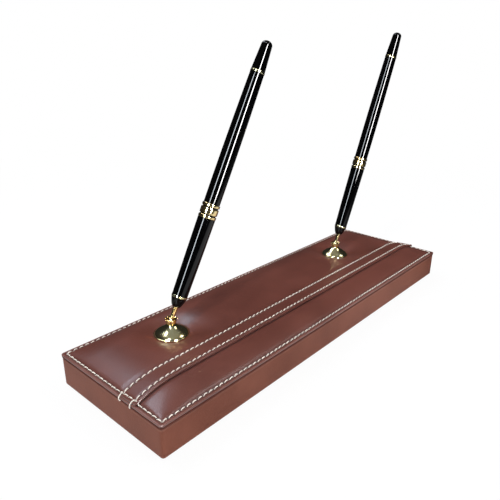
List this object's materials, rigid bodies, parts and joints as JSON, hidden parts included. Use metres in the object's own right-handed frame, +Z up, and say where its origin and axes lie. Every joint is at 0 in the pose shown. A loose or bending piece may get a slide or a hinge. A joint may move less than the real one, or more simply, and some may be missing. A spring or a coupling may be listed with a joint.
{
  "type": "desk pen stand",
  "caption": "Leather-covered desk block with a padded, stitched top and swivelling ball-socket holders, each with a slim black and gold pen that pulls out.",
  "frame": {"origin": "centre of the underside, on the face that the block rests on", "axes": "+X along the block towards the right pen, +Y towards the back edge, +Z up"},
  "size_m": [0.3, 0.09, 0.1961],
  "materials": {
    "leather": "smooth, semi-gloss",
    "lining_leather": "smooth, satin",
    "wood": "bare",
    "felt": "matte felt",
    "foam": "open foam, matte",
    "board": "matte",
    "gold": "polished gold plate",
    "bare_brass": "satin",
    "steel": "zinc plated",
    "black_lacquer": "gloss lacquer",
    "refill_plastic": "satin"
  },
  "bodies": {
    "base": {"base_core": "wood", "side_wrap": "leather", "base_liner": "felt", "top_lining": "lining_leather", "pad_board": "board", "foam_pad": "foam", "top_cover": "leather", "cover_band": "leather", "left_bell": "gold", "left_crown": "gold", "left_spring": "steel", "left_stud": "steel", "left_washer": "steel", "left_nut": "steel", "right_bell": "gold", "right_crown": "gold", "right_spring": "steel", "right_stud": "steel", "right_washer": "steel", "right_nut": "steel"},
    "left_seat": {"left_seat_cup": "bare_brass"},
    "left_ball": {"left_ball": "gold"},
    "left_pen": {"left_pen_nose_tube": "gold", "left_pen_nose_cone": "black_lacquer", "left_pen_lower_ring": "gold", "left_pen_lower_barrel": "black_lacquer", "left_pen_coupler": "black_lacquer", "left_pen_band_1": "gold", "left_pen_band_2": "gold", "left_pen_band_3": "gold", "left_pen_upper_barrel": "black_lacquer", "left_pen_upper_ring": "gold", "left_pen_end_cap": "black_lacquer", "left_pen_refill_point": "bare_brass", "left_pen_refill_tube": "refill_plastic"},
    "right_seat": {"right_seat_cup": "bare_brass"},
    "right_ball": {"right_ball": "gold"},
    "right_pen": {"right_pen_nose_tube": "gold", "right_pen_nose_cone": "black_lacquer", "right_pen_lower_ring": "gold", "right_pen_lower_barrel": "black_lacquer", "right_pen_coupler": "black_lacquer", "right_pen_band_1": "gold", "right_pen_band_2": "gold", "right_pen_band_3": "gold", "right_pen_upper_barrel": "black_lacquer", "right_pen_upper_ring": "gold", "right_pen_end_cap": "black_lacquer", "right_pen_refill_point": "bare_brass", "right_pen_refill_tube": "refill_plastic"}
  },
  "joints": [
    {"name": "left_swivel", "type": "hinge", "parent": "base", "child": "left_seat", "pos_m": [-0.0925, 0.01605, 0.02905], "axis": [0, 0, 1], "continuous": true},
    {"name": "left_tilt", "type": "hinge", "parent": "left_seat", "child": "left_ball", "pos_m": [-0.0925, 0.01605, 0.02905], "axis": [0.1392, 0.9903, 0], "range_deg": [-53.3, 2.7]},
    {"name": "left_pull_out", "type": "slide", "parent": "left_ball", "child": "left_pen", "axis": [0.4232, -0.0595, 0.9041], "range_m": [0, 0.03]},
    {"name": "right_swivel", "type": "hinge", "parent": "base", "child": "right_seat", "pos_m": [0.0875, 0.01605, 0.02905], "axis": [0, 0, 1], "continuous": true},
    {"name": "right_tilt", "type": "hinge", "parent": "right_seat", "child": "right_ball", "pos_m": [0.0875, 0.01605, 0.02905], "axis": [0.225, 0.9744, 0], "range_deg": [-45.3, 10.7]},
    {"name": "right_pull_out", "type": "slide", "parent": "right_ball", "child": "right_pen", "axis": [0.2898, -0.0669, 0.9548], "range_m": [0, 0.03]}
  ]
}
